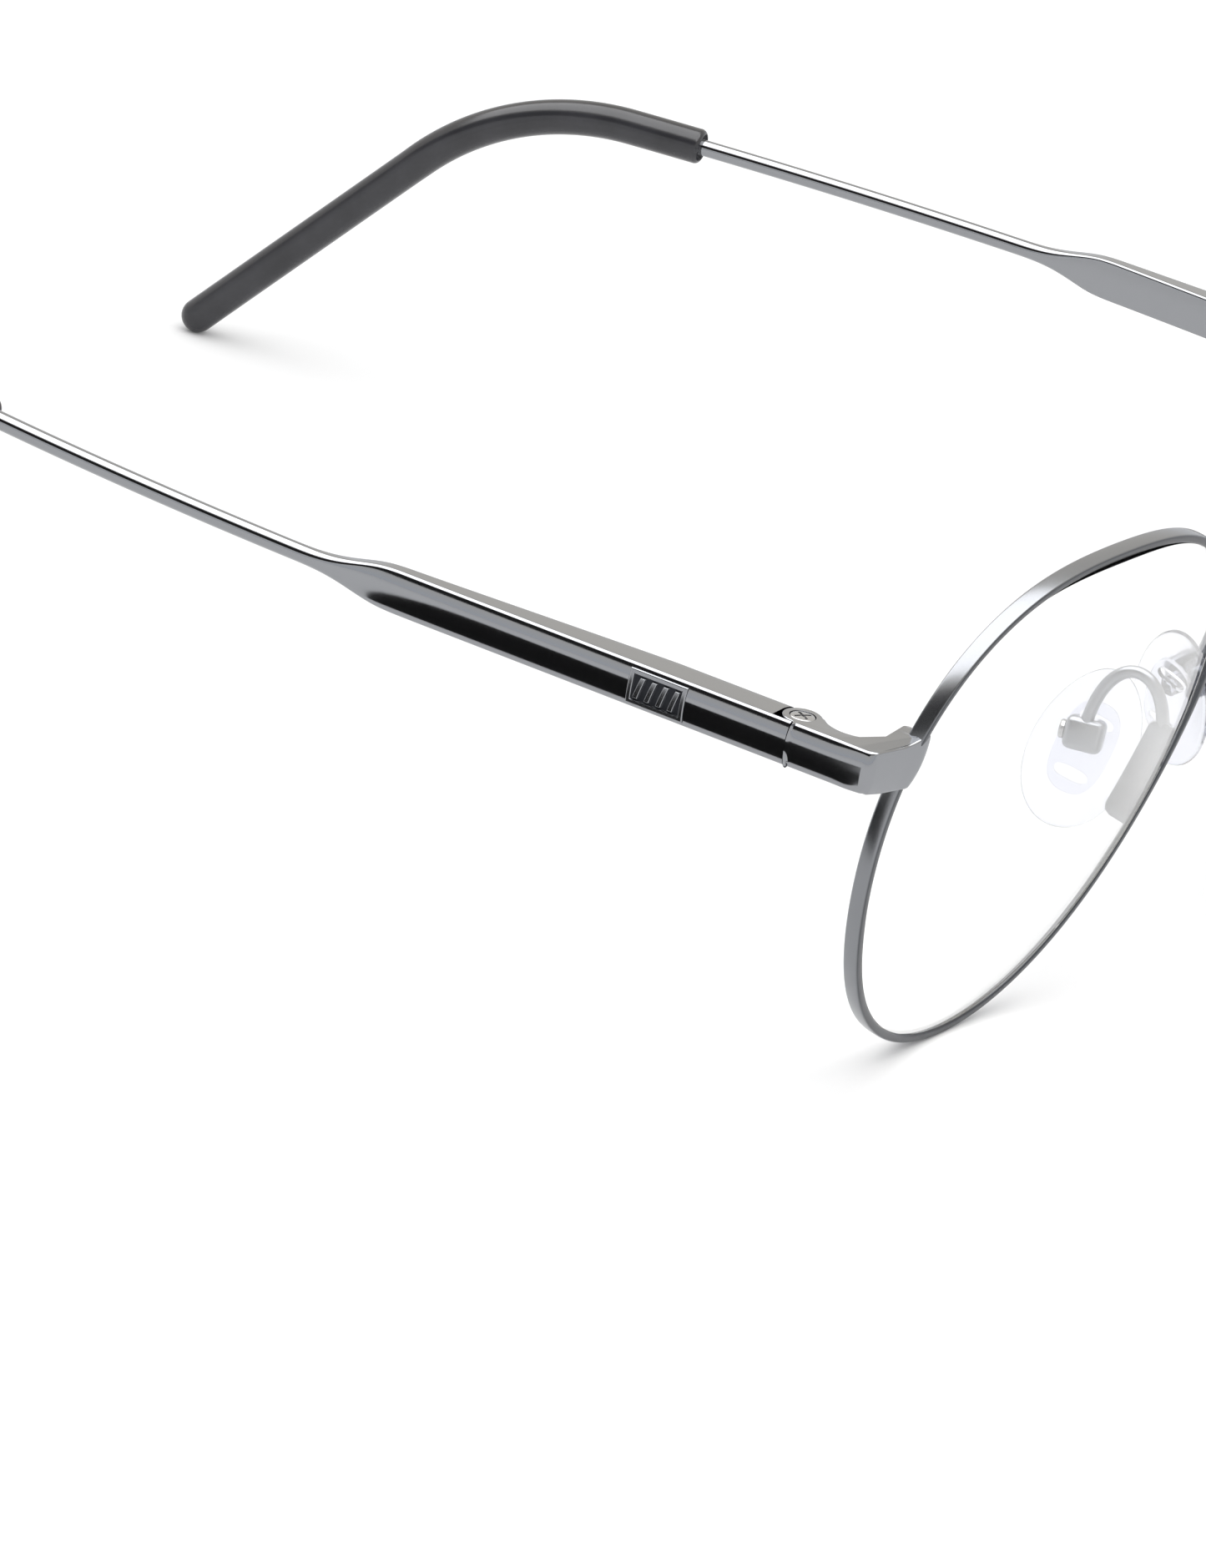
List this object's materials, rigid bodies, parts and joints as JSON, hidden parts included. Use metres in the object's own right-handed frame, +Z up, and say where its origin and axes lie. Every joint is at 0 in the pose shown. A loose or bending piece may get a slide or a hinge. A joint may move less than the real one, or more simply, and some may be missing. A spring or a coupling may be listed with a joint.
{
  "type": "round wire eyeglasses",
  "caption": "Round metal-rimmed eyeglasses with folding blade-and-wire temples, an arched wire bridge, screw-on silicone nose pads and clear lenses.",
  "frame": {"origin": "on the table, in the middle of the box around the open glasses' footprint", "axes": "+Z up, the front faces -Y, the temples run back along +Y, and +X is the wearer's left"},
  "size_m": [0.1272, 0.1361, 0.0449],
  "materials": {
    "polished_gunmetal": "polished gunmetal plating over steel",
    "satin_gunmetal": "satin gunmetal plating over steel",
    "steel_screw": "turned steel",
    "badge_plate": "oxidised flutes with polished lands",
    "pad_insert": "clear hard plastic",
    "clear_silicone": "clear silicone",
    "clear_lens": "clear coated lens",
    "black_tip": "polished acetate"
  },
  "bodies": {
    "front": {"bridge": "polished_gunmetal", "right_rim": "satin_gunmetal", "left_rim": "satin_gunmetal", "right_lens": "clear_lens", "left_lens": "clear_lens", "right_endpiece": "polished_gunmetal", "left_endpiece": "polished_gunmetal", "right_rim_lock_upper": "satin_gunmetal", "left_rim_lock_upper": "satin_gunmetal", "right_rim_lock_lower": "satin_gunmetal", "left_rim_lock_lower": "satin_gunmetal", "right_rim_lock_screw": "steel_screw", "left_rim_lock_screw": "steel_screw", "right_pad_arm": "satin_gunmetal", "left_pad_arm": "satin_gunmetal", "right_pad_box": "satin_gunmetal", "left_pad_box": "satin_gunmetal", "right_pad_screw": "steel_screw", "left_pad_screw": "steel_screw", "right_hinge_screw": "steel_screw", "left_hinge_screw": "steel_screw"},
    "right_pad_unit": {"right_pad_insert": "pad_insert", "right_nose_pad": "clear_silicone"},
    "left_pad_unit": {"left_pad_insert": "pad_insert", "left_nose_pad": "clear_silicone"},
    "right_temple_arm": {"right_temple": "polished_gunmetal", "right_temple_knuckle": "satin_gunmetal", "right_temple_badge": "badge_plate", "right_temple_tip": "black_tip"},
    "left_temple_arm": {"left_temple": "polished_gunmetal", "left_temple_knuckle": "satin_gunmetal", "left_temple_badge": "badge_plate", "left_temple_tip": "black_tip"}
  },
  "joints": [
    {"name": "right_temple_fold", "type": "hinge", "parent": "front", "child": "right_temple_arm", "pos_m": [-0.0611, -0.05488, 0.03117], "axis": [0, 0, -1], "range_deg": [0, 85]},
    {"name": "right_pad_rock", "type": "hinge", "parent": "front", "child": "right_pad_unit", "pos_m": [-0.0104, -0.05638, 0.01897], "axis": [-0.309, 0.9511, 0], "range_deg": [-10, 10]},
    {"name": "left_temple_fold", "type": "hinge", "parent": "front", "child": "left_temple_arm", "pos_m": [0.0611, -0.05488, 0.03117], "axis": [0, 0, 1], "range_deg": [0, 76]},
    {"name": "left_pad_rock", "type": "hinge", "parent": "front", "child": "left_pad_unit", "pos_m": [0.0104, -0.05638, 0.01897], "axis": [0.309, 0.9511, 0], "range_deg": [-10, 10]}
  ]
}
